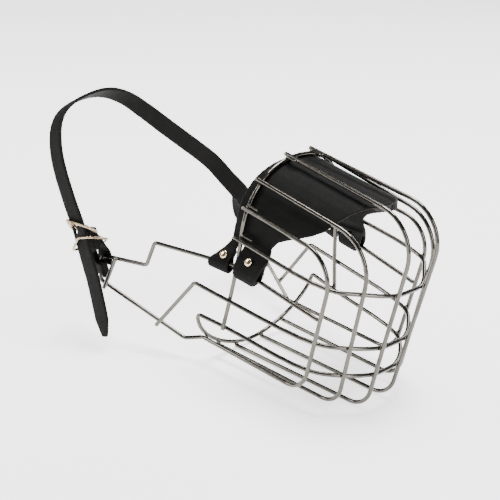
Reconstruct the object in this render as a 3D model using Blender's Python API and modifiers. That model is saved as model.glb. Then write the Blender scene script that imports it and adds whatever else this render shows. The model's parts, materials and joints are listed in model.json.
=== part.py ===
"""Basket muzzle for a large dog: a welded wire basket, a leather nose pad and a buckled neck strap.

X points forward along the snout, Y to the animal's left, Z up.  Names ending in _right are at -Y.
Lengths below are in millimetres, with heights above the inner pair of bottom wires.  Objects are made
in metres by to_frame(), which also puts the origin in the rear opening, where the snout carries the part.
"""

import math

import bmesh
import bpy
from mathutils import Matrix, Vector

MM = 0.001
ORIGIN = Vector((0.0, 0.0, 80.0))   # middle of the rear opening

# Wire basket
WIRE = 3.0                 # wire diameter
FIT = 0.25                 # gap kept between two welded wires
PITCH = WIRE + FIT         # centre distance of two wires that cross
STUB = 2.3                 # how far a wire's end stands past the wire it is welded to

# Rear rim: two flaring legs under a flattened arch, leaning forward
RIM_LEAN = 0.06
RIM_FOOT_Z = 38.0
RIM_SPRING_Z = 106.0       # where the arch starts
RIM_HALF = 50.3
RIM_RISE = 52.0
RIM_POWER = 2.2
RIM_FLARE = 9.9

# Throat arch: the bottom of the rear opening
ARCH_HALF = 61.2
ARCH_TOP_Z = 41.8
ARCH_DEPTH = 40.0
ARCH_POWER = 1.7
ARCH_X = -24.5
ARCH_RAKE = 0.14

# Each long hoop: half spacing on the rim, top and bottom front corners, half spacing on the arch,
# and the two bend radii
HOOPS = {
    "inner": dict(rim_y=12.0, top=(125.6, 15.7, 142.9), low=(95.6, 12.7, 0.0), arch_y=12.7, bends=(29.0, 18.0)),
    "middle": dict(rim_y=36.6, top=(108.0, 36.2, 127.7), low=(86.5, 32.9, 5.4), arch_y=33.4, bends=(30.0, 16.0)),
    "outer": dict(rim_y=47.0, top=(89.7, 52.3, 116.4), low=(69.0, 49.6, 14.0), arch_y=47.4, bends=(24.0, 18.0)),
}

# Bands round the inside of the hoops: rear height, fall per mm forward, and the rear end
BANDS = {
    "upper_band": dict(rear=(0.3, 53.8), z=106.4, fall=0.145),
    "middle_band": dict(rear=(-29.0, 61.4), z=64.8, fall=0.121),
    "lower_band": dict(rear=(ARCH_X, ARCH_HALF), z=ARCH_TOP_Z, fall=0.122),
}

# Cheek wires: low bend, strap eye, step and side bar
CHEEK_LOW = (-43.0, 55.8, 14.2)
EYE_LOW = (-111.0, 80.3, 44.3)
EYE_HIGH = (-110.5, 80.6, 64.6)
STEP = ((-70.0, 71.2, 67.2), (-63.3, 69.8, 86.6))
CHEEK_AT_RIM = (2.6, 55.6, 87.2)
SIDE_BAR_END = (78.6, 51.4, 71.9)
EYE_BAR = ((-95.0, 77.1, 65.6), (-105.3, 78.4, 41.0))
BAND_LEG_FOOT = (-62.3, 21.6)      # x and z where the middle band's leg meets the chin wire

# Leather
PAD_THICK = 2.2
LINING_THICK = 1.4
PLY_THICK = 1.5
PAD_GAP = 0.3
STRAP_WIDE = 15.0
STRAP_THICK = 2.5
CHAPE_THICK = 6.2
EYE_SLOT = (4.3, 1.9)      # half length and half height of the tunnel round a strap eye's wire
RIVET_HEAD = 6.0
RIVET_POST = 2.6
RIVETS = ((-4.0, 93.4), (17.6, 93.9))   # x and z
RIVET_Y = (58.0, 55.5)                  # where the tab's outer face is there
RIVET_TILT = (0.54, 0.47)               # upward part of that face's direction

# Buckle, a wire loop: its heel bar lies behind the strap and its top bar in front
HEEL_LEFT = Vector((-138.0, -87.2, 78.7))
HEEL_RIGHT = Vector((-106.5, -87.8, 85.3))
TOP_LEFT = Vector((-133.0, -95.5, 88.6))
TOP_RIGHT = Vector((-105.5, -95.5, 91.0))
BUCKLE_WIRE = 2.2
TONGUE_X = -124.0
TONGUE_WIRE = 1.5
KEEPER_WIRE = 2.0
KEEPER = (
    (-125.8, -95.4, 67.2),
    (-119.0, -95.4, 78.9),
    (-106.6, -95.0, 83.2),
    (-106.2, -78.6, 78.3),
    (-117.0, -73.6, 70.6),
    (-125.8, -73.4, 64.2),
)

EYE_PIVOT_Z = 54.5


def clear_scene():
    for item in list(bpy.data.objects):
        bpy.data.objects.remove(item, do_unlink=True)


def to_frame(point):
    return (Vector(point) - ORIGIN) * MM


def material(name, colour, metallic, roughness):
    made = bpy.data.materials.new(name)
    made.use_nodes = True
    shader = made.node_tree.nodes["Principled BSDF"]
    shader.inputs["Base Color"].default_value = (*colour, 1.0)
    shader.inputs["Metallic"].default_value = metallic
    shader.inputs["Roughness"].default_value = roughness
    return made


def collection(name):
    made = bpy.data.collections.new(name)
    bpy.context.scene.collection.children.link(made)
    return made


def heel_at(x):
    """The point of the buckle's heel bar at this x."""
    return HEEL_LEFT.lerp(HEEL_RIGHT, (x - HEEL_LEFT.x) / (HEEL_RIGHT.x - HEEL_LEFT.x))


clear_scene()
PARTS = collection("basket_muzzle")
CUTTERS = collection("cutters")
CHROME = material("bright_wire", (0.75, 0.74, 0.71), 1.0, 0.16)
LEATHER = material("black_leather", (0.012, 0.012, 0.012), 0.0, 0.55)
SUEDE = material("brown_suede", (0.10, 0.055, 0.035), 0.0, 0.9)
BRASS = material("warm_nickel", (0.78, 0.68, 0.50), 1.0, 0.25)
STEEL = material("aged_nickel", (0.60, 0.54, 0.46), 1.0, 0.3)

SWING = bpy.data.objects.new("strap_swing_axis", None)
SWING.location = to_frame((EYE_LOW[0], 0.0, EYE_PIVOT_Z))
PARTS.objects.link(SWING)
HEEL = bpy.data.objects.new("buckle_heel_axis", None)
HEEL.location = to_frame(heel_at(TONGUE_X))
PARTS.objects.link(HEEL)
bpy.context.view_layer.update()


def place(obj, finish, parent=None):
    """Puts a finished object in the part's collection, with its material and its joint's empty."""
    PARTS.objects.link(obj)
    obj.data.materials.append(finish)
    if parent:
        obj.parent = parent
        obj.matrix_parent_inverse = parent.matrix_world.inverted()
    return obj


# ---------------------------------------------------------------- curves

def fillet(before, corner, after, radius, steps):
    """The arc of a bend of this radius at a corner, as points."""
    to_before = (before - corner).normalized()
    to_after = (after - corner).normalized()
    half = to_before.angle(to_after) / 2
    centre = corner + (to_before + to_after).normalized() * radius / math.sin(half)
    tangent = radius / math.tan(half)
    first = corner + to_before * tangent - centre
    last = corner + to_after * tangent - centre
    sweep = first.angle(last)
    return [
        centre + (first * math.sin((1 - i / steps) * sweep) + last * math.sin(i / steps * sweep)) / math.sin(sweep)
        for i in range(steps + 1)
    ]


def bent(corners, radii, steps=8):
    """A path through corners, each inner one rounded."""
    corners = [Vector(corner) for corner in corners]
    points = [corners[0]]
    for i, radius in enumerate(radii, 1):
        points += fillet(corners[i - 1], corners[i], corners[i + 1], radius, steps)
    return points + [corners[-1]]


def spline(points, steps=5):
    """A smooth curve through points (centripetal Catmull-Rom)."""
    points = [Vector(point) for point in points]
    points = [2 * points[0] - points[1], *points, 2 * points[-1] - points[-2]]
    path = []
    for p0, p1, p2, p3 in zip(points, points[1:], points[2:], points[3:]):
        t1 = math.sqrt((p1 - p0).length)
        t2 = t1 + math.sqrt((p2 - p1).length)
        t3 = t2 + math.sqrt((p3 - p2).length)
        for i in range(steps):
            t = t1 + (t2 - t1) * i / steps
            a1 = p0.lerp(p1, t / t1)
            a2 = p1.lerp(p2, (t - t1) / (t2 - t1))
            a3 = p2.lerp(p3, (t - t2) / (t3 - t2))
            b1 = a1.lerp(a2, t / t2)
            b2 = a2.lerp(a3, (t - t1) / (t3 - t1))
            path.append(b1.lerp(b2, (t - t1) / (t2 - t1)))
    return path + [points[-2]]


def mirrored(points):
    return [Vector((p[0], -p[1], p[2])) for p in points]


def wire(name, points, diameter=WIRE, finish=None, parent=None, closed=False):
    """A round wire along points."""
    data = bpy.data.curves.new(name, "CURVE")
    data.dimensions = "3D"
    data.bevel_depth = diameter / 2 * MM
    data.bevel_resolution = 2
    data.use_fill_caps = True
    line = data.splines.new("POLY")
    line.points.add(len(points) - 1)
    line.use_cyclic_u = closed
    for knot, point in zip(line.points, points):
        knot.co = (*to_frame(point), 1.0)
    return place(bpy.data.objects.new(name, data), finish or CHROME, parent)


def both_sides(name, points, **more):
    """A wire at +Y and its mirror image at -Y."""
    wire(name + "_left", points, **more)
    wire(name + "_right", mirrored(points), **more)


# ---------------------------------------------------------------- wire basket

def rim_point(y):
    """A point of the rim's arch at this half width, and the direction that points out of the basket."""
    height = (1 - (y / RIM_HALF) ** RIM_POWER) ** (1 / RIM_POWER)
    z = RIM_SPRING_Z + RIM_RISE * height
    out = Vector((0, (y / RIM_HALF) ** (RIM_POWER - 1) / RIM_HALF, height ** (RIM_POWER - 1) / RIM_RISE))
    return Vector(((z - RIM_FOOT_Z) * RIM_LEAN, y, z)), out.normalized()


def rim_leg_y(z):
    return RIM_HALF + RIM_FLARE * ((RIM_SPRING_Z - z) / (RIM_SPRING_Z - RIM_FOOT_Z)) ** 1.5


def rim_x(z):
    return (z - RIM_FOOT_Z) * RIM_LEAN


def rear_rim():
    legs = [RIM_FOOT_Z + (RIM_SPRING_Z - RIM_FOOT_Z) * i / 6 for i in range(7)]
    leg = [Vector((rim_x(z), rim_leg_y(z), z)) for z in legs]
    arch = [rim_point(RIM_HALF * math.cos(math.pi / 2 * i / 14) ** 0.8)[0] for i in range(1, 15)]
    half = leg + arch
    wire("rear_rim", half + mirrored(half[:-1])[::-1])


def arch_point(y):
    """A point of the throat arch at this half width, and the direction that points out of the basket."""
    depth = (1 - (y / ARCH_HALF) ** ARCH_POWER) ** (1 / ARCH_POWER)
    z = ARCH_TOP_Z - ARCH_DEPTH * depth
    out = Vector((0, (y / ARCH_HALF) ** (ARCH_POWER - 1) / ARCH_HALF, -(depth ** (ARCH_POWER - 1)) / ARCH_DEPTH))
    return Vector((ARCH_X - (ARCH_TOP_Z - z) * ARCH_RAKE, y, z)), out.normalized()


def throat_half():
    """Half of the throat arch, from its middle up to below its upper corner."""
    return [arch_point(ARCH_HALF * math.sin(math.pi / 2 * i / 12))[0] for i in range(12)]


def hoop_ends(hoop):
    """Where a hoop crosses the rim and the throat arch."""
    on_rim, rim_out = rim_point(hoop["rim_y"])
    on_arch, arch_out = arch_point(hoop["arch_y"])
    return on_rim + rim_out * PITCH, on_arch + arch_out * PITCH


def strut_at(hoop, z):
    """The front strut's centre at this height."""
    low, top = Vector(hoop["low"]), Vector(hoop["top"])
    return low.lerp(top, (z - low.z) / (top.z - low.z))


def long_hoops():
    for name, hoop in HOOPS.items():
        on_rim, on_arch = hoop_ends(hoop)
        top, low = Vector(hoop["top"]), Vector(hoop["low"])
        rear_top = on_rim + (on_rim - top).normalized() * STUB
        rear_low = on_arch + (on_arch - low).normalized() * STUB
        both_sides(name + "_hoop", bent([rear_top, top, low, rear_low], hoop["bends"], 9))


def band_height(band, x):
    return band["z"] - band["fall"] * (x - band["rear"][0])


def band_path(band, side_offset=None):
    """Half of a band: along the cheek, past the rim's leg, then touching the inside of each front strut."""
    path = [Vector((*band["rear"], 0.0))]
    if side_offset is not None:
        path.append(Vector((0.0, rim_leg_y(band_height(band, 0.0)) + side_offset, 0.0)))
    inward = {"outer": (-0.45, -0.89), "middle": (-0.86, -0.51), "inner": (-0.985, -0.17)}
    for name in ("outer", "middle", "inner"):
        level = band["z"]
        for _ in range(3):
            touch = strut_at(HOOPS[name], level) + Vector((*inward[name], 0.0)) * PITCH
            level = band_height(band, touch.x)
        path.append(touch)
    path.append(Vector((touch.x + 1.2, 0.0, 0.0)))
    for point in path:
        point.z = band_height(band, point.x)
    return path


def smooth_half(path):
    """A band's half as a smooth curve that meets its mirror image squarely."""
    return spline(path + [Vector((path[-2].x, -path[-2].y, path[-2].z))], 5)[:-5]


def bands():
    half = smooth_half(band_path(BANDS["upper_band"]))
    wire("upper_band", half + mirrored(half[:-1])[::-1])

    half = smooth_half(band_path(BANDS["middle_band"], PITCH))
    foot_x, foot_z = BAND_LEG_FOOT
    foot = Vector((foot_x, cheek_y(foot_x) + PITCH, foot_z))
    foot += (foot - half[0]).normalized() * 2.0
    half = [foot] + fillet(foot, half[0], half[1], 4.0, 5) + half[2:]
    wire("middle_band", half + mirrored(half[:-1])[::-1])

    half = smooth_half(band_path(BANDS["lower_band"], -PITCH))
    throat = throat_half()
    half = throat + fillet(throat[-1], half[0], half[2], 3.0, 5) + half[3:]
    wire("lower_band", half + mirrored(half[1:-1])[::-1], closed=True)


def cheek_y(x):
    """Half width of the chin wire at this x, behind its low bend."""
    low, eye = Vector(CHEEK_LOW), Vector(EYE_LOW)
    return low.lerp(eye, (x - low.x) / (eye.x - low.x)).y


def cheek_wires():
    _, on_arch = hoop_ends(HOOPS["outer"])
    low = Vector(HOOPS["outer"]["low"])
    start = on_arch + (on_arch - low).normalized() * (STUB + 0.9)
    corners = [start, CHEEK_LOW, EYE_LOW, EYE_HIGH, *STEP, CHEEK_AT_RIM, SIDE_BAR_END]
    both_sides("cheek_wire", bent(corners, (7.0, 4.5, 4.5, 3.5, 3.5, 12.0), 6))
    top, bottom = Vector(EYE_BAR[0]), Vector(EYE_BAR[1])
    out = Vector((0, PITCH, 0))
    reach = (top - bottom).normalized() * 1.6
    both_sides("eye_bar", [top + out + reach, bottom + out - reach])


def pad_prongs():
    """Short wires on the rim beside some of the hoops, which hold the pad's rear edge down."""
    for name in ("inner", "outer"):
        on_rim, _ = hoop_ends(HOOPS[name])
        ahead = (Vector(HOOPS[name]["top"]) - on_rim).normalized()
        for side, word in ((1, "left"), (-1, "right")):
            lift = Vector((1.9, -0.9, 2.9)) if name == "outer" else Vector((1.9, -2.8 * side, -0.3))
            start = on_rim + lift
            points = [start, start + ahead * 10.0]
            wire(f"prong_{name}_{word}", points if side == 1 else mirrored(points), diameter=1.5)
    start = Vector((rim_x(110.0) + 2.2, rim_leg_y(104.0) + 1.6, 109.3))
    both_sides("prong_upper", [start, start + Vector((9.0, -0.4, -1.3))], diameter=1.5)


# ---------------------------------------------------------------- leather pad

def mesh_object(name, points, faces, finish, parent=None):
    data = bpy.data.meshes.new(name)
    data.from_pydata([to_frame(point) for point in points], [], faces)
    return place(bpy.data.objects.new(name, data), finish, parent)


def cut(obj, cutters):
    """Takes each cutter away from obj."""
    for cutter in cutters:
        CUTTERS.objects.link(cutter)
        cutter.hide_render = True
        cutter.display_type = "WIRE"
        modifier = obj.modifiers.new(cutter.name, "BOOLEAN")
        modifier.operation = "DIFFERENCE"
        modifier.solver = "EXACT"
        modifier.object = cutter


def rod(name, start, end, radius, sides=12):
    """A straight round bar between two points, for cutting a hole."""
    shape = bmesh.new()
    bmesh.ops.create_cone(
        shape,
        cap_ends=True,
        segments=sides,
        radius1=radius * MM,
        radius2=radius * MM,
        depth=(end - start).length * MM,
    )
    data = bpy.data.meshes.new(name)
    turn = Vector((0, 0, 1)).rotation_difference(end - start).to_matrix().to_4x4()
    shape.transform(Matrix.Translation(to_frame((start + end) / 2)) @ turn)
    shape.to_mesh(data)
    shape.free()
    return bpy.data.objects.new(name, data)


def box(name, low, high):
    """An upright box between two corners, for cutting a slot."""
    shape = bmesh.new()
    bmesh.ops.create_cube(shape, size=1.0)
    low, high = Vector(low), Vector(high)
    size = Matrix.Diagonal((*((high - low) * MM), 1.0))
    shape.transform(Matrix.Translation(to_frame((low + high) / 2)) @ size)
    data = bpy.data.meshes.new(name)
    shape.to_mesh(data)
    shape.free()
    return bpy.data.objects.new(name, data)


def side_wire(x):
    """Half width and height of the cheek wire and its side bar at this x."""
    x0, y0, z0 = CHEEK_AT_RIM
    if x < x0:
        rear = STEP[1]
        t = (x0 - x) / (x0 - rear[0])
        return y0 + (rear[1] - y0) * t, z0 + (rear[2] - z0) * t
    t = (x - x0) / (SIDE_BAR_END[0] - x0)
    return y0 + (SIDE_BAR_END[1] - y0) * t, z0 + (SIDE_BAR_END[2] - z0) * t


# Half of the pad's front edge, from the crest out and down: half width, x and z
PAD_FRONT = (
    (0.0, 90.0, 145.5),
    (7.0, 88.5, 145.2),
    (14.0, 84.5, 144.2),
    (20.0, 80.5, 142.2),
    (25.5, 77.0, 139.4),
    (30.5, 73.5, 135.6),
    (35.0, 70.3, 131.6),
    (38.2, 68.0, 128.0),
    (42.3, 60.0, 123.0),
    (45.6, 51.0, 119.0),
    (47.2, 42.0, 115.0),
    (48.0, 35.0, 111.4),
)
PAD_REAR_HALF = (0.0, 7.0, 14.0, 20.0, 25.5, 30.5, 35.0, 38.6, 42.4, 45.7, 48.2, 49.6)
# A side tab, down its outer face, round the wire and up inside: rear x, z and distance outside the
# wire's centre, then the same three at its front edge
TAB_ROWS = (
    (-6.3, 105.5, -9.2, 30.6, 106.0, -4.8),
    (-7.2, 101.5, -8.4, 31.4, 102.0, -4.0),
    (-8.5, 98.0, -5.0, 31.3, 98.0, -1.8),
    (-10.8, 94.0, 0.2, 29.6, 93.0, 1.4),
    (-13.2, 91.4, 2.4, 28.4, 88.6, 3.2),
    (-15.0, 88.4, 4.05, 27.4, 85.0, 4.05),
    (-15.6, 84.6, 4.0, 25.8, 80.6, 4.0),
    (-15.3, 82.4, 2.5, 23.0, 77.4, 2.5),
    (-15.2, 81.7, 0.0, 22.0, 76.6, 0.0),
    (-15.3, 82.4, -2.5, 23.0, 77.4, -2.5),
    (-15.6, 84.6, -4.0, 25.8, 80.6, -4.0),
    (-15.2, 87.0, -4.0, 27.2, 84.0, -4.0),
    (-14.4, 88.9, -4.0, 28.0, 87.6, -3.95),
    (-13.0, 91.2, -4.5, 28.8, 91.0, -3.9),
    (-11.0, 94.2, -8.0, 29.8, 95.2, -5.9),
)


def pad_ends(inset=0.0, depth=0.0):
    """Rear and front points of the pad's rows, from the crest to the tab's end, this far inside its outer face."""
    rows = []
    for rear_half, (front_half, front_x, front_z) in zip(PAD_REAR_HALF, PAD_FRONT):
        on_rim, out = rim_point(rear_half)
        slope = 0.13 + 0.08 * min(1.0, rear_half / 38) ** 2
        over = 4.0 + 5.5 * min(1.0, rear_half / 45) - inset
        rear = on_rim - out * (WIRE / 2 + 0.35 + depth) + Vector((-over, 0, over * slope))
        inward = Vector((-inset, -out.y * depth, inset * slope - out.z * depth))
        rows.append((rear, Vector((front_x, front_half, front_z)) + inward))
    return rows


def pad_points(columns):
    """Grid of the pad's outer face from the left tab's inner end over the crest to the right one's."""
    half = []
    for rear, front in pad_ends():
        half.append([rear.lerp(front, i / columns) for i in range(columns + 1)])
    for x0, z0, out0, x1, z1, out1 in TAB_ROWS:
        row = []
        for i in range(columns + 1):
            t = i / columns
            x = x0 + (x1 - x0) * t
            row.append(Vector((x, side_wire(x)[0] + out0 + (out1 - out0) * t, z0 + (z1 - z0) * t)))
        half.append(row)
    return half[::-1] + [mirrored(row) for row in half[1:]]


def sheet(name, rows, thickness, finish, parent=None):
    """A sheet of leather with this outer face, closed by Solidify."""
    wide = len(rows[0])
    points = [point for row in rows for point in row]
    faces = []
    for i in range(len(rows) - 1):
        for j in range(wide - 1):
            a = i * wide + j
            faces.append((a, a + wide, a + wide + 1, a + 1))
    made = mesh_object(name, points, faces, finish, parent)
    solid = made.modifiers.new("thickness", "SOLIDIFY")
    solid.thickness = thickness * MM
    solid.offset = -1.0
    return made


def rivet_axis(index, side):
    """Centre of a rivet on the tab's outer face and its direction outward."""
    x, z = RIVETS[index]
    tilt = RIVET_TILT[index]
    return Vector((x, side * RIVET_Y[index], z)), Vector((0, side * math.sqrt(1 - tilt**2), tilt))


def nose_pad():
    pad = sheet("nose_pad", pad_points(14), PAD_THICK, LEATHER)
    cutters = []
    for side, word in ((1, "left"), (-1, "right")):
        inner, outer = sorted((side * 46.0, side * 70.0))
        wide = WIRE / 2 + 0.35
        cutters.append(box(f"slit_{word}", (rim_x(77.0) - wide, inner, 71.0), (rim_x(101.6) + wide, outer, 101.6)))
        for index in range(2):
            centre, out = rivet_axis(index, side)
            cutters.append(rod(f"rivet_hole_{word}_{index}", centre - out * 8, centre + out * 5, 1.6))
    cut(pad, cutters)


def pad_lining():
    """The soft lining under the pad, held back from its edges."""
    rows = []
    for rear, front in pad_ends(inset=4.0, depth=PAD_THICK + PAD_GAP)[:-2]:
        rows.append([rear.lerp(front, i / 10) for i in range(11)])
    sheet("pad_lining", rows[::-1] + [mirrored(row) for row in rows[1:]], LINING_THICK, SUEDE)


def turned(name, profile, base, axis, finish, sides=14):
    """A round piece: profile is (radius, height) down its outside, both ends on the axis."""
    data = bpy.data.meshes.new(name)
    points = [(radius * MM, 0.0, height * MM) for radius, height in profile]
    data.from_pydata(points, [(i, i + 1) for i in range(len(points) - 1)], [])
    made = place(bpy.data.objects.new(name, data), finish)
    made.location = to_frame(base)
    made.rotation_mode = "QUATERNION"
    made.rotation_quaternion = Vector((0, 0, 1)).rotation_difference(axis)
    screw = made.modifiers.new("turn", "SCREW")
    screw.steps = sides
    screw.render_steps = sides
    screw.use_smooth_shade = True
    screw.use_merge_vertices = True
    screw.merge_threshold = 0.00001
    return made


def rivets():
    """Domed caps outside and broad posts inside, through both plies of each tab."""
    for side, word in ((1, "left"), (-1, "right")):
        for index, where in enumerate(("rear", "front")):
            centre, out = rivet_axis(index, side)
            half = RIVET_HEAD / 2
            cap = ((0, 2.4), (half * 0.55, 2.15), (half * 0.88, 1.5), (half, 0.8), (half * 0.97, 0.5), (0, 0.5))
            turned(f"rivet_cap_{word}_{where}", cap, centre, out, BRASS)
            foot = -2 * PAD_THICK - 3.4
            post = RIVET_POST / 2
            shank = ((0, -0.1), (post, -0.1), (post, foot), (half * 0.78, foot), (half * 0.78, foot - 0.9), (0, foot - 1.0))
            turned(f"rivet_post_{word}_{where}", shank, centre, out, BRASS)


# ---------------------------------------------------------------- neck strap and buckle

# Path of the strap from the left strap eye over the neck to the tip of its tail: centre, width and thickness
LOOP_BASE = Vector((-104.0, 0.0, 52.0))
LOOP_RISE = Vector((-0.5, 0.0, 0.866))
LOOP_ACROSS = Vector((0.866, 0.0, 0.5))
LOOP_STATIONS = (
    (74, 30), (64, 47), (54, 63), (37, 80.5), (20, 97), (3, 114), (-11, 126.5), (-24, 133), (-37, 135),
    (-52, 133.4), (-66, 129.6), (-76, 124), (-83, 116), (-88, 105), (-91.0, 93), (-92.3, 80), (-92.6, 69), (-92.6, 56),
)
TAIL = (
    (-125.2, 90.3, 15.0), (-119.6, 80.0, 15.0), (-114.6, 69.3, 15.0), (-109.6, 59.0, 15.0), (-104.6, 49.0, 15.0),
    (-100.0, 37.5, 15.0), (-95.9, 26.5, 15.0), (-94.0, 20.6, 14.6), (-92.2, 15.0, 10.5), (-90.6, 10.0, 6.6),
    (-90.1, 8.4, 5.0),
)
TAIL_Y = -92.6
FAR_TWIST = math.radians(27)       # how far the strap is rolled over on its left run


def ribbon(name, stations, finish, parent=None):
    """A flat strap through stations of (centre, wanted width direction, width, thickness)."""
    centres = [station[0] for station in stations]
    points = []
    faces = []
    for i, (centre, across, width, thick) in enumerate(stations):
        ahead = (centres[min(i + 1, len(centres) - 1)] - centres[max(i - 1, 0)]).normalized()
        across = (across - ahead * across.dot(ahead)).normalized()
        out = ahead.cross(across)
        edge = min(0.5, thick * 0.25)
        ring = (
            (-1, -1, edge, 0), (1, -1, edge, 0), (1, -1, 0, edge), (1, 1, 0, edge),
            (1, 1, edge, 0), (-1, 1, edge, 0), (-1, 1, 0, edge), (-1, -1, 0, edge),
        )
        for u, v, less_u, less_v in ring:
            points.append(centre + across * u * (width / 2 - less_u) + out * v * (thick / 2 - less_v))
    for i in range(len(stations) - 1):
        for j in range(8):
            a, b = i * 8 + j, i * 8 + (j + 1) % 8
            faces.append((a, b, b + 8, a + 8))
    last = len(points) - 8
    faces.append(tuple(range(7, -1, -1)))
    faces.append(tuple(range(last, last + 8)))
    return mesh_object(name, points, faces, finish, parent)


def eased(stations, steps=3):
    """The same strap with its centre line made a smooth curve and its widths and directions shared out along it."""
    centres = spline([station[0] for station in stations], steps)
    made = []
    for i, centre in enumerate(centres):
        before = stations[i // steps]
        after = stations[min(i // steps + 1, len(stations) - 1)]
        t = (i % steps) / steps
        made.append((centre, before[1].lerp(after[1], t), *(a + (b - a) * t for a, b in zip(before[2:], after[2:]))))
    return made


def neck_strap():
    up = Vector((0, 0, 1))
    eye_x, eye_y = EYE_LOW[0], EYE_LOW[1] + 0.2
    long, high = EYE_SLOT
    start = [
        (Vector((eye_x + 6.2, eye_y, EYE_PIVOT_Z)), up, 13.0, 4.4),
        (Vector((eye_x + 5.2, eye_y, EYE_PIVOT_Z)), up, 13.0, 6.6),
        (Vector((eye_x, eye_y, EYE_PIVOT_Z)), up, 13.0, 7.0),
        (Vector((eye_x - 5.0, eye_y, EYE_PIVOT_Z + 0.1)), up, 13.0, 6.6),
        (Vector((eye_x - 8.6, eye_y - 0.1, EYE_PIVOT_Z + 1.5)), up, 13.0, 5.4),
    ]
    turn = [
        (Vector((eye_x - 12.0, eye_y - 0.8, EYE_PIVOT_Z + 5.0)), Vector((0.5, 0, 0.86)), 13.5, 5.2),
        (Vector((eye_x - 13.2, eye_y - 2.2, EYE_PIVOT_Z + 10.0)), Vector((0.9, -0.1, 0.4)), 14.0, 5.2),
        (Vector((eye_x - 12.4, eye_y - 4.4, EYE_PIVOT_Z + 17.0)), Vector((0.95, -0.2, 0.3)), 14.5, 5.2),
    ]
    over = []
    for i, (y, s) in enumerate(LOOP_STATIONS):
        centre = LOOP_BASE + LOOP_RISE * s + Vector((0, y, 0))
        twist = FAR_TWIST * max(0.0, min(1.0, (y + 45) / 55))
        before, after = LOOP_STATIONS[max(i - 1, 0)], LOOP_STATIONS[min(i + 1, len(LOOP_STATIONS) - 1)]
        ahead = (LOOP_RISE * (after[1] - before[1]) + Vector((0, after[0] - before[0], 0))).normalized()
        side = ahead.cross(LOOP_ACROSS)
        thick = 5.2 if i == 0 else STRAP_THICK
        over.append((centre, LOOP_ACROSS * math.cos(twist) + side * math.sin(twist), STRAP_WIDE, thick))
    tail = [(Vector((x, TAIL_Y, z)), LOOP_ACROSS, width, STRAP_THICK) for x, z, width in TAIL]
    strap = ribbon("neck_strap", eased(start + turn + over + tail), LEATHER, SWING)
    eye = box("far_eye_slot", (eye_x - long, eye_y - high, 40.0), (eye_x + long, eye_y + high, 70.0))
    hole = box("tongue_hole", (TONGUE_X - 2.1, TAIL_Y - 4.0, 79.6), (TONGUE_X + 1.1, TAIL_Y + 1.7, 88.3))
    cut(strap, [eye, hole])


# Outline of the chape in its own plane, as x and z: the folded leather that joins buckle and strap eye
CHAPE_OUTLINE = (
    (-105.0, 48.4), (-105.0, 59.6), (-105.8, 60.2), (-114.6, 60.6), (-115.0, 66.4), (-110.8, 69.6), (-108.0, 72.4),
    (-107.6, 75.5), (-109.0, 79.8), (-109.6, 84.0), (-109.7, 86.6), (-110.7, 87.4), (-120.3, 85.5), (-121.3, 84.4),
    (-121.8, 79.0), (-122.2, 72.0), (-121.9, 63.0), (-120.4, 56.0), (-117.0, 50.6), (-112.5, 48.4),
)
# The chape's inner ply, behind the strap eye's wire: height, rear and front edge, and y of its outer face
CHAPE_BACK = (
    (57.0, -118.5, -104.2, -76.7), (60.0, -119.5, -103.8, -76.7), (64.0, -120.0, -104.0, -76.7),
    (67.5, -120.2, -105.6, -77.0), (70.0, -120.2, -106.0, -78.5), (72.5, -120.2, -106.4, -80.4),
    (75.0, -120.2, -107.2, -81.8), (77.5, -120.0, -108.2, -82.5), (80.0, -119.8, -108.8, -83.1),
)


def plate(name, outline, thickness, rim):
    """A flat piece with this outline in XY and chamfered edges, as a mesh centred on Z = 0."""
    data = bpy.data.curves.new(name, "CURVE")
    data.dimensions = "2D"
    data.fill_mode = "BOTH"
    data.extrude = (thickness / 2 - rim) * MM
    data.bevel_depth = rim * MM
    data.bevel_resolution = 0
    data.offset = -rim * MM
    line = data.splines.new("POLY")
    line.points.add(len(outline) - 1)
    line.use_cyclic_u = True
    for knot, (x, y) in zip(line.points, outline):
        knot.co = (x * MM, y * MM, 0.0, 1.0)
    flat = bpy.data.objects.new(name, data)
    PARTS.objects.link(flat)
    graph = bpy.context.evaluated_depsgraph_get()
    made = bpy.data.meshes.new_from_object(flat.evaluated_get(graph))
    bpy.data.objects.remove(flat, do_unlink=True)
    shape = bmesh.new()
    shape.from_mesh(made)
    bmesh.ops.remove_doubles(shape, verts=shape.verts, dist=0.00001)
    bmesh.ops.recalc_face_normals(shape, faces=shape.faces)
    shape.to_mesh(made)
    shape.free()
    made.materials.clear()
    return made


def chape():
    eye = Vector((EYE_LOW[0], -EYE_LOW[1] - 0.2, EYE_PIVOT_Z))
    heel = heel_at(-115.3)
    lean = (heel.y - eye.y) / (heel.z - eye.z)
    up = Vector((0, lean, 1)).normalized()
    out = Vector((0, -1, lean)).normalized()
    outline = [(x - eye.x, (z - eye.z) / up.z) for x, z in CHAPE_OUTLINE]
    data = plate("chape", outline, CHAPE_THICK, 0.9)
    turn = Matrix((Vector((1, 0, 0)), up, out)).transposed().to_4x4()
    data.transform(Matrix.Translation(to_frame(eye)) @ turn)
    made = place(bpy.data.objects.new("chape", data), LEATHER, SWING)
    long, high = EYE_SLOT
    slot = box("near_eye_slot", (eye.x - long, eye.y - high, 40.0), (eye.x + long, eye.y + high, 70.0))
    along = (HEEL_RIGHT - HEEL_LEFT).normalized()
    bore = rod("heel_bore", heel - along * 12, heel + along * 12, BUCKLE_WIRE / 2 + 0.35)
    cut(made, [slot, bore])


def chape_back():
    rows = []
    for z, rear_x, front_x, y in reversed(CHAPE_BACK):
        rows.append([Vector((rear_x + (front_x - rear_x) * i / 4, y, z)) for i in range(5)])
    sheet("chape_back", rows, PLY_THICK, LEATHER, SWING)


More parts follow.
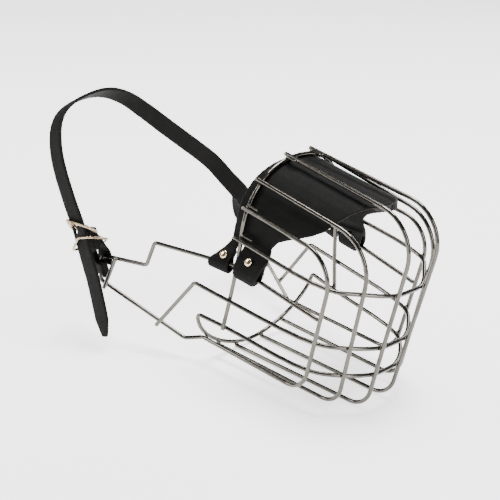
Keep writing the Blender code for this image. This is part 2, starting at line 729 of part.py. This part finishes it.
def tongue():
    """A ring round the heel bar whose finger goes through the strap and rests on the top bar."""
    pivot = heel_at(TONGUE_X)
    along = (HEEL_RIGHT - HEEL_LEFT).normalized()
    out = (Vector((0, -1, 0)) + along * along.y).normalized()
    up = out.cross(along)
    radius = BUCKLE_WIRE / 2 + TONGUE_WIRE / 2 + 0.25
    bar = TOP_LEFT.lerp(TOP_RIGHT, (TONGUE_X - 1.6 - TOP_LEFT.x) / (TOP_RIGHT.x - TOP_LEFT.x)) - pivot
    bar_out, bar_up = bar.dot(out), bar.dot(up)
    bend = pivot + out * (bar_out + 1.9) + up * (bar_up - 2.2)
    tip = pivot + out * (bar_out + 2.3) + up * (bar_up + 1.3)
    start = math.degrees(math.atan2(bar_up - 2.2, bar_out + 1.9))
    turns = [math.radians(start + 62 - angle) for angle in range(300, -1, -25)]
    ring = [pivot + (out * math.cos(turn) + up * math.sin(turn)) * radius for turn in turns]
    finger = fillet(ring[-1], bend, tip, 1.5, 4)
    wire("buckle_tongue", ring + finger + [tip], TONGUE_WIRE, STEEL, HEEL)


def buckle():
    corners = [TOP_LEFT.lerp(TOP_RIGHT, 0.5), TOP_RIGHT, HEEL_RIGHT, HEEL_LEFT, TOP_LEFT]
    loop = []
    for i in range(1, 5):
        after = corners[(i + 1) % 5] if i < 4 else corners[0]
        loop += fillet(corners[i - 1], corners[i], after, 2.2, 5)
    wire("buckle_frame", [corners[0]] + loop, BUCKLE_WIRE, STEEL, SWING, closed=True)
    tongue()
    path = [Vector(point) for point in KEEPER]
    loop = []
    for i, corner in enumerate(path):
        loop += fillet(path[i - 1], corner, path[(i + 1) % 6], 2.6 if i in (0, 2, 3, 5) else 6.0, 5)
    wire("keeper", loop, KEEPER_WIRE, STEEL, SWING, closed=True)


rear_rim()
long_hoops()
bands()
cheek_wires()
pad_prongs()
nose_pad()
pad_lining()
rivets()
neck_strap()
chape()
chape_back()
buckle()
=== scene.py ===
"""Looks of the basket muzzle: plated wire, weld beads, grained leather, suede, rivets and a wire buckle."""

import json
import math

import bmesh
import bpy
import numpy as np
from mathutils import Matrix, Vector, noise


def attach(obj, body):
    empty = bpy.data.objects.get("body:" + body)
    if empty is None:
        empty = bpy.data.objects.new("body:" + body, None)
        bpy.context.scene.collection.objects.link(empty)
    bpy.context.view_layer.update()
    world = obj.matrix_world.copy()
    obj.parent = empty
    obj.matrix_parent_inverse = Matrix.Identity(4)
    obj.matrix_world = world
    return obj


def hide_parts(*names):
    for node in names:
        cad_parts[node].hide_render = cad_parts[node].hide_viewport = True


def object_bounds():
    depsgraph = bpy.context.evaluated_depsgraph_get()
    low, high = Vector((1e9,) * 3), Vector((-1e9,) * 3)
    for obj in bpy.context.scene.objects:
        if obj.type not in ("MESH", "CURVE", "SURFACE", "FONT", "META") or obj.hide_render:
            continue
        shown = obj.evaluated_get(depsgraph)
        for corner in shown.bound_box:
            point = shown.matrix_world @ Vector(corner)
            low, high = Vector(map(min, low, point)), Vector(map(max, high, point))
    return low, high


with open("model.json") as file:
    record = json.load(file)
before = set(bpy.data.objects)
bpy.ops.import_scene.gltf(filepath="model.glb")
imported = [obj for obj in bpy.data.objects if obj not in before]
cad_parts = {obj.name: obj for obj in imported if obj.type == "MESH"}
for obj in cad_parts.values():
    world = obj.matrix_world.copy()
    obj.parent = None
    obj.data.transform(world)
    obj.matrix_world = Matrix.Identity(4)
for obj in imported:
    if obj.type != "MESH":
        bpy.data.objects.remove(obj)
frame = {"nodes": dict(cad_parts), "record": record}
CAD_LOW, CAD_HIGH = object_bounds()

MM = 0.001
BODY_OF = {node: body for body, nodes in frame["record"]["behaviour"]["bodies"].items() for node in nodes}
SLOT_OF = {part["node"]: part["material_slot"] for part in frame["record"]["subparts"]}

# Wire diameters by node, where they aren't the basket's own
BASKET_WIRE = 3.0 * MM
WIRE_SIZE = {
    "buckle_frame": 2.2 * MM,
    "buckle_tongue": 1.5 * MM,
    "keeper": 2.0 * MM,
}
PRONG_WIRE = 1.5 * MM
TUBE_SIDES = 16
END_ROUNDING = ((0.0, 0.58), (0.14, 0.84), (0.40, 0.98))   # depth and radius, as shares of the wire's radius

# Depth of the marks in the small fittings' plate and in the weld metal
SCRATCH = 0.00001
WELD_SCRATCH = 0.00008


# ---------------------------------------------------------------- materials

class Paint:
    """A node material under construction: node() adds a node and joins its inputs."""

    def __init__(self, name):
        self.made = bpy.data.materials.new(name)
        self.made.use_nodes = True
        self.tree = self.made.node_tree
        self.shader = self.tree.nodes["Principled BSDF"]
        self.place = self.node("ShaderNodeTexCoord").outputs["Object"]

    def node(self, kind, settings=None, **inputs):
        made = self.tree.nodes.new(kind)
        for name, value in (settings or {}).items():
            setattr(made, name, value)
        for name, value in inputs.items():
            self.put(made.inputs[name.replace("_", " ")], value)
        return made

    def put(self, socket, value):
        if isinstance(value, bpy.types.NodeSocket):
            self.tree.links.new(value, socket)
        else:
            socket.default_value = value

    def cloud(self, per_metre, detail=4.0, roughness=0.55):
        settings = {"Vector": self.place, "Scale": per_metre, "Detail": detail, "Roughness": roughness}
        return self.node("ShaderNodeTexNoise", **settings).outputs["Fac"]

    def cells(self, per_metre):
        return self.node("ShaderNodeTexVoronoi", Vector=self.place, Scale=per_metre).outputs["Distance"]

    def remap(self, value, low, high, to_low, to_high):
        made = self.node("ShaderNodeMapRange")
        for index, what in enumerate((value, low, high, to_low, to_high)):
            self.put(made.inputs[index], what)
        return made.outputs["Result"]

    def sum(self, first, second, share=1.0):
        made = self.node("ShaderNodeMath", {"operation": "MULTIPLY_ADD"})
        for index, what in enumerate((second, share, first)):
            self.put(made.inputs[index], what)
        return made.outputs["Value"]

    def blend(self, share, first, second):
        made = self.node("ShaderNodeMix", {"data_type": "RGBA"})
        self.put(made.inputs["Factor"], share)
        self.put(made.inputs["A"], first)
        self.put(made.inputs["B"], second)
        return made.outputs["Result"]

    def attribute(self, name):
        return self.node("ShaderNodeAttribute", {"attribute_name": name}).outputs["Fac"]

    def relief(self, height, distance, strength=1.0):
        made = self.node("ShaderNodeBump", Height=height, Distance=distance, Strength=strength)
        self.put(self.shader.inputs["Normal"], made.outputs["Normal"])

    def finish(self, **inputs):
        for name, value in inputs.items():
            self.put(self.shader.inputs[name.replace("_", " ")], value)
        return self.made


def plated(name, bright, dull, roughness, patch_scale, scratch=0.0):
    """Polished metal with duller patches and fine drawing marks."""
    paint = Paint(name)
    patches = paint.remap(paint.cloud(patch_scale, 5.0, 0.6), 0.48, 0.72, 0.0, 1.0)
    marks = paint.cloud(900.0, 6.0, 0.7)
    colour = paint.blend(patches, (*bright, 1.0), (*dull, 1.0))
    rough = paint.sum(paint.remap(marks, 0.35, 0.75, roughness[0], roughness[1]), patches, roughness[2])
    if scratch:
        paint.relief(paint.sum(marks, paint.cloud(4200.0, 3.0, 0.6), 0.5), scratch)
    return paint.finish(Base_Color=colour, Metallic=1.0, Roughness=rough)


def leather():
    """Black leather: pebbled grain, faint creases, and cut edges a little lighter and smoother."""
    paint = Paint("black_leather")
    edge = paint.attribute("edge")
    tone = paint.remap(paint.cloud(70.0, 5.0, 0.6), 0.38, 0.68, 0.0, 1.0)
    grain = paint.cells(1150.0)
    fine = paint.cloud(2600.0, 4.0, 0.6)
    creases = paint.remap(paint.cloud(200.0, 6.0, 0.65), 0.47, 0.56, 0.0, 1.0)
    skin = paint.blend(tone, (0.0026, 0.0026, 0.0023, 1.0), (0.0044, 0.0042, 0.0038, 1.0))
    colour = paint.blend(paint.remap(edge, 0.25, 0.9, 0.0, 0.25), skin, (0.0120, 0.0108, 0.0092, 1.0))
    height = paint.sum(paint.sum(grain, fine, 0.35), creases, 0.30)
    paint.relief(height, 0.00013, 0.7)
    rough = paint.sum(paint.remap(grain, 0.0, 0.7, 0.56, 0.70), edge, -0.10)
    return paint.finish(Base_Color=colour, Roughness=rough, Specular_IOR_Level=0.085)


def suede():
    """Brown flesh side of leather: matted nap with worn, darker patches."""
    paint = Paint("brown_suede")
    nap = paint.cloud(1800.0, 6.0, 0.75)
    patches = paint.remap(paint.cloud(110.0, 4.0, 0.6), 0.4, 0.65, 0.0, 1.0)
    fibre = paint.remap(nap, 0.3, 0.7, 0.0, 1.0)
    base = paint.blend(patches, (0.018, 0.014, 0.011, 1.0), (0.010, 0.008, 0.007, 1.0))
    colour = paint.blend(fibre, base, (0.030, 0.023, 0.018, 1.0))
    paint.relief(nap, 0.0004, 0.8)
    return paint.finish(Base_Color=colour, Roughness=0.93, Sheen_Weight=0.1, Specular_IOR_Level=0.1)


# Bright colour, dull colour, then (least roughness, most roughness, extra where dull) and patches per metre
FINISHES = {
    "bright_wire": plated(
        "bright_wire", (0.115, 0.108, 0.095), (0.080, 0.074, 0.064), (0.18, 0.20, 0.04), 60.0
    ),
    "warm_nickel": plated(
        "warm_nickel", (0.86, 0.72, 0.44), (0.46, 0.33, 0.16), (0.14, 0.24, 0.18), 260.0, SCRATCH
    ),
    "aged_nickel": plated(
        "aged_nickel", (0.46, 0.37, 0.25), (0.20, 0.14, 0.085), (0.16, 0.28, 0.14), 210.0, SCRATCH
    ),
    "black_leather": leather(),
    "brown_suede": suede(),
}
WELD = plated("weld_metal", (0.17, 0.163, 0.15), (0.10, 0.093, 0.083), (0.22, 0.38, 0.15), 700.0, WELD_SCRATCH)


# ---------------------------------------------------------------- pieces

def piece(name, data, stands_for, finish=None):
    """A finished mesh as a piece that stands for a CAD node and moves with its body."""
    made = bpy.data.objects.new(name, data)
    bpy.context.scene.collection.objects.link(made)
    data.materials.clear()
    data.materials.append(finish or FINISHES[SLOT_OF[stands_for]])
    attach(made, BODY_OF[stands_for])
    return made


def shown_for(made, node):
    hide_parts(node)
    return made


def node_shape(node):
    """A CAD node's mesh with its corners joined."""
    shape = bmesh.new()
    shape.from_mesh(frame["nodes"][node].data)
    bmesh.ops.remove_doubles(shape, verts=shape.verts, dist=2e-6)
    return shape


def smooth_mesh(name, points, faces):
    data = bpy.data.meshes.new(name)
    data.from_pydata(points, [], faces)
    data.shade_smooth()
    return data


# ---------------------------------------------------------------- wires

def wire_size(node):
    return PRONG_WIRE if node.startswith("prong") else WIRE_SIZE.get(node, BASKET_WIRE)


def end_faces(shape, radius):
    """The faces that close a wire's flat ends: five or more in one plane, all within the wire's radius."""
    planes = {}
    for face in shape.faces:
        offset = face.normal.dot(face.calc_center_median())
        key = (*(round(c, 2) for c in face.normal), round(offset / (0.02 * MM)))
        planes.setdefault(key, []).append(face)
    found = set()
    for faces in planes.values():
        corners = [vert.co for face in faces for vert in face.verts]
        middle = sum(corners, Vector()) / len(corners)
        if len(faces) > 4 and max((corner - middle).length for corner in corners) < radius * 1.3:
            found.update(faces)
    return found


def centre_line(node):
    """A wire node's centre line, from its faceted skin, and whether it is a closed loop."""
    shape = node_shape(node)
    radius = wire_size(node) / 2
    ends = end_faces(shape, radius)
    groups = []
    group_of = {}
    capped = set()
    for vert in shape.verts:
        normal = Vector()
        for loop in vert.link_loops:
            if loop.face not in ends:
                normal += loop.face.normal * loop.calc_angle()
        middle = vert.co - normal.normalized() * radius
        near = [i for i, group in enumerate(groups) if (group[0] - middle).length < radius * 0.24]
        if not near:
            near = [len(groups)]
            groups.append([])
        groups[near[0]].append(middle)
        group_of[vert] = near[0]
        if any(face in ends for face in vert.link_faces):
            capped.add(near[0])
    links = {i: set() for i in range(len(groups))}
    for edge in shape.edges:
        a, b = (group_of[vert] for vert in edge.verts)
        if a != b:
            links[a].add(b)
            links[b].add(a)
    shape.free()
    middles = [sum(group, Vector()) / len(group) for group in groups]
    here = min(capped) if capped else 0
    order = [here]
    while True:
        ahead = [i for i in links[here] if i not in order]
        if not ahead:
            break
        here = min(ahead, key=lambda i: (middles[i] - middles[here]).length)
        order.append(here)
    return [middles[i] for i in order], not capped


def eased(points, closed, steps=3, margin=1.6 * MM):
    """The line as a smooth curve that keeps its long runs straight."""
    count = len(points)
    held = []
    for i in range(count if closed else count - 1):
        start, end = points[i], points[(i + 1) % count]
        held.append(start)
        if (end - start).length > 3 * margin:
            ahead = (end - start).normalized() * margin
            held += [start + ahead, end - ahead]
    if not closed:
        held.append(points[-1])
    count = len(held)

    def at(i):
        return held[i % count] if closed else held[max(0, min(count - 1, i))]

    path = []
    for i in range(count if closed else count - 1):
        p0, p1, p2, p3 = at(i - 1), at(i), at(i + 1), at(i + 2)
        if (p0 - p1).length < 1e-7:
            p0 = 2 * p1 - p2
        if (p3 - p2).length < 1e-7:
            p3 = 2 * p2 - p1
        t1 = math.sqrt((p1 - p0).length)
        t2 = t1 + math.sqrt((p2 - p1).length)
        t3 = t2 + math.sqrt((p3 - p2).length)
        parts = 1 if (p2 - p1).length > 3 * margin else steps
        for k in range(parts):
            t = t1 + (t2 - t1) * k / parts
            a1 = p0.lerp(p1, t / t1)
            a2 = p1.lerp(p2, (t - t1) / (t2 - t1))
            a3 = p2.lerp(p3, (t - t2) / (t3 - t2))
            b1, b2 = a1.lerp(a2, t / t2), a2.lerp(a3, (t - t1) / (t3 - t1))
            path.append(b1.lerp(b2, (t - t1) / (t2 - t1)))
    if not closed:
        path.append(held[-1])
    return path


def tube(name, path, radius, closed):
    """A round wire along path. Open ends are cut off and tumbled round."""
    count = len(path)
    ahead = []
    for i in range(count):
        before = path[i - 1] if i or closed else path[0]
        after = path[(i + 1) % count] if i < count - 1 or closed else path[-1]
        ahead.append((after - before).normalized())
    side = ahead[0].orthogonal().normalized()
    sides = []
    for direction in ahead:
        side = (side - direction * side.dot(direction)).normalized()
        sides.append(side)
    if closed:
        last = (side - ahead[0] * side.dot(ahead[0])).normalized()
        gap = math.atan2(last.cross(sides[0]).dot(ahead[0]), last.dot(sides[0]))
        sides = [
            Matrix.Rotation(gap * i / count, 3, direction) @ across
            for i, (direction, across) in enumerate(zip(ahead, sides))
        ]
    rings = [(path[i], ahead[i], sides[i], 1.0) for i in range(count)]
    if not closed:
        start = [
            (path[0] + ahead[0] * radius * depth, ahead[0], sides[0], share)
            for depth, share in END_ROUNDING
        ]
        end = [
            (path[-1] - ahead[-1] * radius * depth, ahead[-1], sides[-1], share)
            for depth, share in END_ROUNDING
        ]
        clear = 0.6 * radius
        body = [ring for ring in rings if min((ring[0] - tip).length for tip in (path[0], path[-1])) > clear]
        rings = start + body + end[::-1]
    points = []
    for centre, direction, across, share in rings:
        up = direction.cross(across)
        for k in range(TUBE_SIDES):
            turn = 2 * math.pi * k / TUBE_SIDES
            points.append(centre + (across * math.cos(turn) + up * math.sin(turn)) * radius * share)
    faces = []
    for i in range(len(rings) if closed else len(rings) - 1):
        for k in range(TUBE_SIDES):
            a, b = i * TUBE_SIDES, ((i + 1) % len(rings)) * TUBE_SIDES
            step = (k + 1) % TUBE_SIDES
            faces.append((a + k, a + step, b + step, b + k))
    if not closed:
        faces.append(tuple(range(TUBE_SIDES - 1, -1, -1)))
        faces.append(tuple(range(len(points) - TUBE_SIDES, len(points))))
    return smooth_mesh(name, points, faces)


def wires():
    """Every wire as a smooth tube; returns the centre lines of those of the basket, with their radii."""
    lines = {}
    for node in frame["nodes"]:
        if SLOT_OF[node] not in ("bright_wire", "aged_nickel"):
            continue
        points, closed = centre_line(node)
        path = eased(points, closed)
        radius = wire_size(node) / 2
        shown_for(piece("look_" + node, tube(node, path, radius, closed), node), node)
        if BODY_OF[node] == "basket":
            lines[node] = (path + path[:1] if closed else path, radius)
    return lines


def dense(path, spacing=0.6 * MM):
    """Points at least this close together along a line."""
    made = []
    for start, end in zip(path, path[1:]):
        parts = max(1, math.ceil((end - start).length / spacing))
        made += [start.lerp(end, k / parts) for k in range(parts)]
    return np.array([*made, path[-1]])


def weld_beads(lines, reach=0.5 * MM, apart=5.0 * MM):
    """Small beads of metal where two wires of the basket meet."""
    runs = {node: (dense(path), radius) for node, (path, radius) in lines.items()}
    names = sorted(runs)
    spots = []
    for i, first in enumerate(names):
        for second in names[i + 1:]:
            (a, radius_a), (b, radius_b) = runs[first], runs[second]
            gaps = np.linalg.norm(a[:, None] - b[None], axis=2) - radius_a - radius_b
            while gaps.min() < reach:
                row, column = np.unravel_index(np.argmin(gaps), gaps.shape)
                spots.append((Vector(a[row]), Vector(b[column]), min(radius_a, radius_b)))
                gaps[np.linalg.norm(a - a[row], axis=1) < apart] = 1.0
    shape = bmesh.new()
    for start, end, radius in spots:
        bead = bmesh.ops.create_icosphere(shape, subdivisions=2, radius=1.0)["verts"]
        half = Vector((radius * 1.06, radius * 1.06, radius * 0.68))
        turn = Vector((0, 0, 1)).rotation_difference(end - start).to_matrix()
        for vert in bead:
            lump = 1.0 + 0.10 * noise.noise(vert.co * 1.7 + start * 900)
            vert.co = turn @ (vert.co * half * lump) + (start + end) / 2
    data = bpy.data.meshes.new("weld_beads")
    shape.to_mesh(data)
    shape.free()
    data.shade_smooth()
    piece("look_weld_beads", data, "rear_rim", WELD)


# ---------------------------------------------------------------- leather

def soft_skin(node, voxel, passes, waves):
    """The node's solid as a fine mesh with rounded edges, a faintly uneven face and an edge attribute."""
    shape = node_shape(node)
    data = bpy.data.meshes.new(node)
    shape.to_mesh(data)
    shape.free()
    draft = bpy.data.objects.new(node + "_draft", data)
    bpy.context.scene.collection.objects.link(draft)
    remesh = draft.modifiers.new("remesh", "REMESH")
    remesh.mode = "VOXEL"
    remesh.voxel_size = voxel
    relax = draft.modifiers.new("relax", "SMOOTH")
    relax.factor = 0.5
    relax.iterations = passes
    graph = bpy.context.evaluated_depsgraph_get()
    made = bpy.data.meshes.new_from_object(draft.evaluated_get(graph))
    bpy.data.objects.remove(draft, do_unlink=True)
    count = len(made.vertices)
    points = np.empty(count * 3)
    made.vertices.foreach_get("co", points)
    points = points.reshape(-1, 3)
    normals = np.empty(count * 3)
    made.vertices.foreach_get("normal", normals)
    normals = normals.reshape(-1, 3)
    ends = np.empty(len(made.edges) * 2, int)
    made.edges.foreach_get("vertices", ends)
    ends = ends.reshape(-1, 2)
    links = np.bincount(ends.ravel(), minlength=count)

    def around(values):
        """Mean over each corner's neighbours."""
        total = np.zeros_like(values)
        for a, b in (ends.T, ends.T[::-1]):
            np.add.at(total, a, values[b])
        return (total.T / links).T

    bulge = ((points - around(points)) * normals).sum(1) / voxel
    for _ in range(3):
        bulge = (bulge + around(bulge)) / 2
    edge = np.clip((bulge - 0.015) / 0.06, 0.0, 1.0)
    lift = np.array(
        [noise.noise(Vector(point) * 60) + 0.5 * noise.noise(Vector(point) * 170) for point in points]
    )
    points += normals * (lift * waves)[:, None]
    made.vertices.foreach_set("co", points.ravel())
    made.attributes.new("edge", "FLOAT", "POINT").data.foreach_set("value", edge.astype(np.float32))
    made.shade_smooth()
    return made


def leather_pieces():
    for node, voxel, passes, waves in (
        ("nose_pad", 0.75 * MM, 8, 0.10 * MM),
        ("pad_lining", 0.7 * MM, 4, 0.10 * MM),
        ("neck_strap", 0.5 * MM, 6, 0.05 * MM),
        ("chape", 0.4 * MM, 8, 0.12 * MM),
        ("chape_back", 0.4 * MM, 4, 0.10 * MM),
    ):
        shown_for(piece("look_" + node, soft_skin(node, voxel, passes, waves), node), node)


# ---------------------------------------------------------------- rivets

def turned(name, profile, sides=40):
    """A round piece on Z from (radius, height) points, top to bottom, both ends on the axis."""
    points = [Vector((0, 0, profile[0][1]))]
    for radius, height in profile[1:-1]:
        for k in range(sides):
            turn = 2 * math.pi * k / sides
            points.append(Vector((radius * math.cos(turn), radius * math.sin(turn), height)))
    points.append(Vector((0, 0, profile[-1][1])))
    last = len(points) - 1
    faces = [(0, 1 + k, 1 + (k + 1) % sides) for k in range(sides)]
    for ring in range(len(profile) - 3):
        a = 1 + ring * sides
        faces += [
            (a + k, a + sides + k, a + sides + (k + 1) % sides, a + (k + 1) % sides) for k in range(sides)
        ]
    a = last - sides
    faces += [(last, a + (k + 1) % sides, a + k) for k in range(sides)]
    return smooth_mesh(name, points, faces)


def lie(node, outward):
    """Where a turned node lies: its end point, its direction outward, and its radius and length."""
    shape = node_shape(node)
    points = np.array([vert.co for vert in shape.verts])
    shape.free()
    middle = points.mean(0)
    _, spans, axes = np.linalg.svd(points - middle)
    round_pair = [(abs(spans[(i + 1) % 3] - spans[(i + 2) % 3]), i) for i in range(3)]
    axis = axes[min(round_pair)[1]]
    axis = axis if axis[1] * outward > 0 else -axis
    along = (points - middle) @ axis
    radius = np.linalg.norm(points - middle - along[:, None] * axis, axis=1).max()
    return Vector(middle + axis * along.min()), Vector(axis), radius, along.max() - along.min()


def rivets():
    for node in frame["nodes"]:
        if not node.startswith("rivet"):
            continue
        side = 1 if "left" in node else -1
        foot, axis, radius, length = lie(node, side)
        if "cap" in node:
            turns = np.linspace(0, 1.5, 12)
            dome = [(radius * math.sin(t) * 0.97, length * (0.42 + 0.58 * math.cos(t))) for t in turns]
            rim = [(radius, length * 0.40), (radius, length * 0.26), (radius * 0.97, length * 0.16)]
            profile = [*dome, *rim, (radius * 0.8, length * 0.1), (0, length * 0.1)]
        else:
            turns = np.linspace(0, 3.1, 9)
            shank = [(0, length), (radius * 0.5, length)]
            shank += [(radius * 0.55, length * 0.97), (radius * 0.55, length * 0.2)]
            roll = [
                (radius * (0.72 + 0.28 * math.sin(t)), length * (0.10 + 0.085 * math.cos(t))) for t in turns
            ]
            hollow = [(radius * 0.5, length * 0.03), (radius * 0.3, length * 0.07), (0, length * 0.08)]
            profile = [*shank, *roll, *hollow]
        data = turned(node, profile)
        turn = Vector((0, 0, 1)).rotation_difference(axis).to_matrix().to_4x4()
        data.transform(Matrix.Translation(foot) @ turn)
        shown_for(piece("look_" + node, data, node), node)


# ---------------------------------------------------------------- floor, lights and camera

def surroundings():
    low, high = CAD_LOW, CAD_HIGH
    middle = (low + high) / 2
    paint = Paint("pale_floor")
    tone = paint.blend(paint.cloud(6.0, 2.0), (0.86, 0.86, 0.855, 1.0), (0.90, 0.90, 0.895, 1.0))
    floor_finish = paint.finish(
        Base_Color=tone,
        Roughness=0.85,
        Specular_IOR_Level=0.2,
        Emission_Color=(1.0, 1.0, 1.0, 1.0),
        Emission_Strength=1.7,
    )
    bpy.ops.mesh.primitive_plane_add(size=16.0, location=(0, 0, low.z - 0.0004))
    floor = bpy.context.object
    floor.name = "floor"
    floor.data.materials.append(floor_finish)

    world = bpy.data.worlds.new("studio")
    bpy.context.scene.world = world
    world.use_nodes = True
    world.node_tree.nodes["Background"].inputs["Color"].default_value = (1.0, 1.0, 1.0, 1.0)
    world.node_tree.nodes["Background"].inputs["Strength"].default_value = 0.10

    for name, place, size, power in (
        ("top", (-0.1, 0.2, 1.6), (0.8, 0.8), 62.0),
        ("left", (-1.2, -1.0, 0.9), (0.35, 0.7), 16.0),
        ("right", (1.5, -0.4, 0.7), (0.4, 0.8), 14.0),
        ("back", (-0.2, 1.6, 0.9), (1.0, 0.35), 14.0),
    ):
        data = bpy.data.lights.new(name, "AREA")
        data.shape = "RECTANGLE"
        data.size, data.size_y = size
        data.energy = power
        light = bpy.data.objects.new(name, data)
        bpy.context.scene.collection.objects.link(light)
        light.location = middle + Vector(place)
        light.rotation_mode = "QUATERNION"
        light.rotation_quaternion = (-Vector(place)).to_track_quat("-Z", "Y")


def camera():
    """Three-quarter view from the front right, a little above, with the camera rolled a few degrees."""
    azimuth, elevation, roll = (math.radians(angle) for angle in (43.61, 21.39, 3.39))
    back = Vector(
        (math.sin(azimuth) * math.cos(elevation), -math.cos(azimuth) * math.cos(elevation), math.sin(elevation))
    )
    level = Vector((math.cos(azimuth), math.sin(azimuth), 0))
    right = level * math.cos(roll) + back.cross(level) * math.sin(roll)
    data = bpy.data.cameras.new("camera")
    data.lens = 85.18
    data.sensor_width = 36.0
    made = bpy.data.objects.new("camera", data)
    bpy.context.scene.collection.objects.link(made)
    turn = Matrix((right, back.cross(right), back)).transposed().to_4x4()
    made.matrix_world = Matrix.Translation((0.5321, -0.5954, 0.3151)) @ turn
    bpy.context.scene.camera = made


weld_beads(wires())
leather_pieces()
rivets()
surroundings()
camera()
